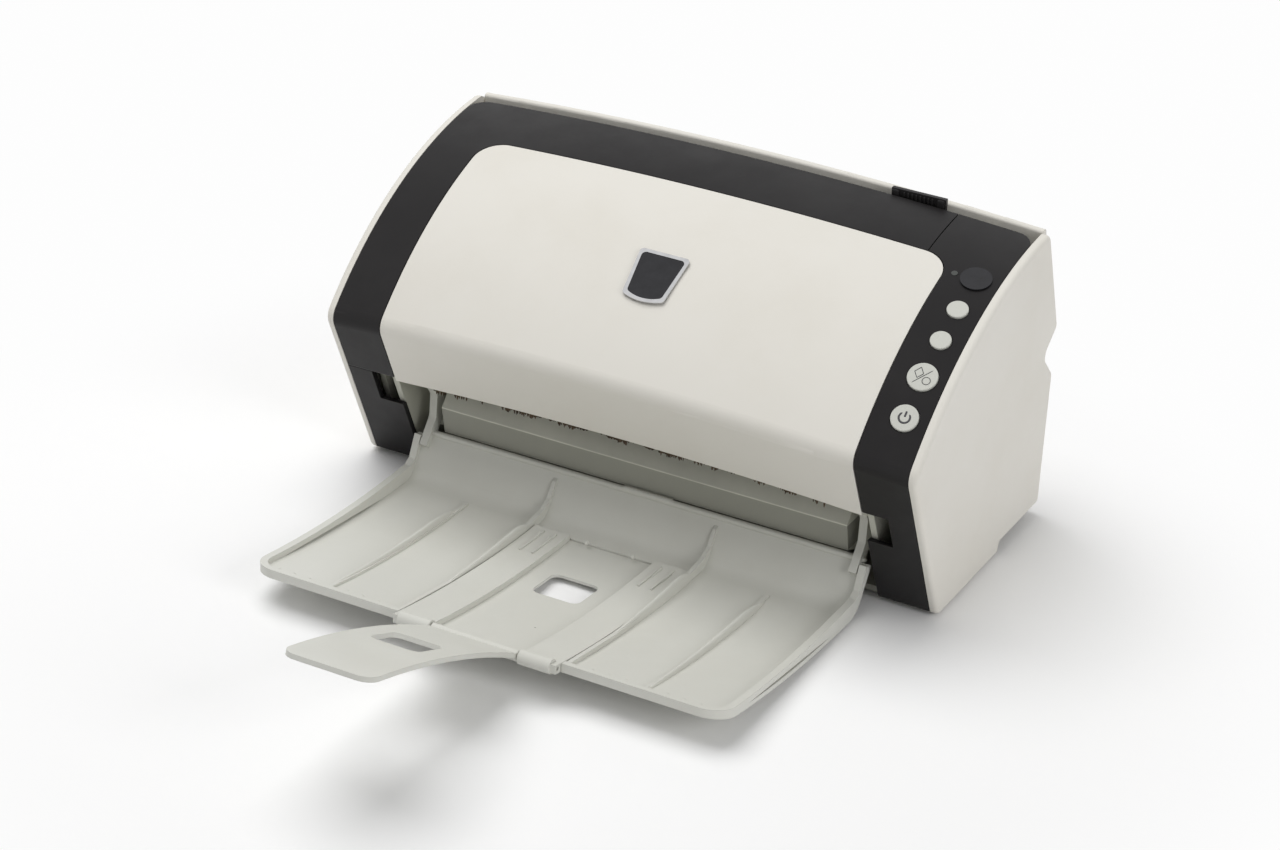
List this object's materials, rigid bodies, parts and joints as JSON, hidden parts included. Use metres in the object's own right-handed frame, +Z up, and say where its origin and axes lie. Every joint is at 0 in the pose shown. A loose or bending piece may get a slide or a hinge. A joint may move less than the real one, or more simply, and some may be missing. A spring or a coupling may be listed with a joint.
{
  "type": "document scanner",
  "caption": "Desktop duplex sheet-fed document scanner with an opening front cover, key column, paper rollers and drive, and a folding output tray with a fold-out tongue.",
  "frame": {"origin": "under the middle of the bounding box, on the table", "axes": "+X to the right seen from the front, +Y to the back, +Z up"},
  "size_m": [0.301, 0.3836, 0.1588],
  "materials": {
    "board_green": "circuit board",
    "button_plastic": "light grey key cap",
    "chrome_rim": "bright plated rim",
    "clear_glass": "flat scanning glass",
    "dark_gloss": "smoked window",
    "dark_plastic": "charcoal satin trim",
    "foot_rubber": "soft foot",
    "inner_plastic": "grey green frame moulding",
    "led_lens": "small light lens",
    "pale_plastic": "fine satin moulded shell",
    "pile_fabric": "short dark pile",
    "roller_rubber": "soft grooved tyre",
    "steel": "ground shaft",
    "tray_plastic": "light warm grey moulding"
  },
  "bodies": {
    "base": {"base_frame": "inner_plastic", "side_cover_left": "pale_plastic", "side_cover_right": "pale_plastic", "operator_panel": "dark_plastic", "lower_trim_left": "dark_plastic", "top_cover": "dark_plastic", "rear_cover": "pale_plastic", "lower_guide": "inner_plastic", "lower_image_unit": "dark_plastic", "lower_glass": "clear_glass", "exit_guide": "inner_plastic", "exit_pile": "pile_fabric", "drive_motor": "steel", "drive_belt": "roller_rubber", "main_board": "board_green", "data_socket": "steel", "power_inlet": "dark_plastic", "button_board": "board_green", "panel_window": "dark_gloss", "led_lens": "led_lens", "hinge_pin_left": "steel", "hinge_pin_right": "steel", "front_feet": "foot_rubber", "rear_feet": "foot_rubber"},
    "cover": {"cover_frame": "inner_plastic", "cover_panel": "pale_plastic", "cover_trim": "dark_plastic", "upper_image_unit": "dark_plastic", "upper_glass": "clear_glass", "pad_holder": "inner_plastic", "separation_pad": "roller_rubber", "badge_rim": "chrome_rim", "badge_plate": "dark_gloss"},
    "latch": {"latch_shaft": "steel", "latch_lever": "dark_plastic", "latch_hook_left": "inner_plastic", "latch_hook_right": "inner_plastic"},
    "feed_idler": {"feed_idler_axle": "steel", "feed_idler_wheels": "button_plastic"},
    "eject_idler": {"eject_idler_axle": "steel", "eject_idler_wheels": "button_plastic"},
    "feed_roller": {"feed_shaft": "steel", "feed_tyres": "roller_rubber", "feed_pulley": "button_plastic"},
    "eject_roller": {"eject_shaft": "steel", "eject_tyres": "roller_rubber", "eject_pulley": "button_plastic"},
    "pick_roller": {"pick_shaft": "steel", "pick_tyres": "roller_rubber", "pick_pulley": "button_plastic"},
    "motor_rotor": {"motor_shaft": "steel", "motor_pulley": "button_plastic"},
    "tray": {"tray": "tray_plastic", "tray_leaf": "tray_plastic", "tongue_pin": "steel"},
    "tongue": {"tongue": "tray_plastic"},
    "power_button": {"power_button": "button_plastic"},
    "scan_button": {"scan_button": "button_plastic"},
    "send_button": {"send_button": "button_plastic"},
    "function_button": {"function_button": "button_plastic"}
  },
  "joints": [
    {"name": "cover_hinge", "type": "hinge", "parent": "base", "child": "cover", "pos_m": [0, 0.06563, 0.055], "axis": [1, 0, 0], "range_deg": [0, 65]},
    {"name": "tray_hinge", "type": "hinge", "parent": "base", "child": "tray", "pos_m": [0, 0.06563, 0.055], "axis": [1, 0, 0], "range_deg": [-112, 0]},
    {"name": "tongue_hinge", "type": "hinge", "parent": "tray", "child": "tongue", "pos_m": [0, -0.07537, 0.018], "axis": [1, 0, 0], "range_deg": [-160, 0]},
    {"name": "latch_lever", "type": "hinge", "parent": "cover", "child": "latch", "pos_m": [0, 0.15271, 0.1442], "axis": [1, 0, 0], "range_deg": [-8, 0], "stiffness_Nm_per_rad": 0.15, "springref_deg": 20.05},
    {"name": "power_button_press", "type": "slide", "parent": "base", "child": "power_button", "axis": [-0.0786, 0.6522, -0.7539], "range_m": [0, 0.001], "stiffness_N_per_m": 600, "springref_m": -0.0005},
    {"name": "scan_button_press", "type": "slide", "parent": "base", "child": "scan_button", "axis": [-0.0809, 0.5666, -0.82], "range_m": [0, 0.001], "stiffness_N_per_m": 600, "springref_m": -0.0005},
    {"name": "send_button_press", "type": "slide", "parent": "base", "child": "send_button", "axis": [-0.0823, 0.4775, -0.8748], "range_m": [0, 0.001], "stiffness_N_per_m": 600, "springref_m": -0.0005},
    {"name": "function_button_press", "type": "slide", "parent": "base", "child": "function_button", "axis": [-0.0829, 0.3911, -0.9166], "range_m": [0, 0.001], "stiffness_N_per_m": 600, "springref_m": -0.0005},
    {"name": "feed_roller", "type": "hinge", "parent": "base", "child": "feed_roller", "pos_m": [0, 0.14884, 0.11616], "axis": [1, 0, 0], "continuous": true},
    {"name": "eject_roller", "type": "hinge", "parent": "base", "child": "eject_roller", "pos_m": [0, 0.0979, 0.06248], "axis": [1, 0, 0], "continuous": true},
    {"name": "pick_roller", "type": "hinge", "parent": "base", "child": "pick_roller", "pos_m": [0, 0.16261, 0.13066], "axis": [1, 0, 0], "continuous": true},
    {"name": "motor_rotor", "type": "hinge", "parent": "base", "child": "motor_rotor", "pos_m": [0, 0.14563, 0.038], "axis": [1, 0, 0], "continuous": true},
    {"name": "feed_idler", "type": "hinge", "parent": "cover", "child": "feed_idler", "pos_m": [0, 0.13847, 0.126], "axis": [1, 0, 0], "continuous": true},
    {"name": "eject_idler", "type": "hinge", "parent": "cover", "child": "eject_idler", "pos_m": [0, 0.08753, 0.07232], "axis": [1, 0, 0], "continuous": true}
  ],
  "couplings": [
    {"joint": "eject_roller", "follows": "feed_roller", "ratio": 1},
    {"joint": "pick_roller", "follows": "feed_roller", "ratio": 1},
    {"joint": "motor_rotor", "follows": "feed_roller", "ratio": 1.75}
  ]
}
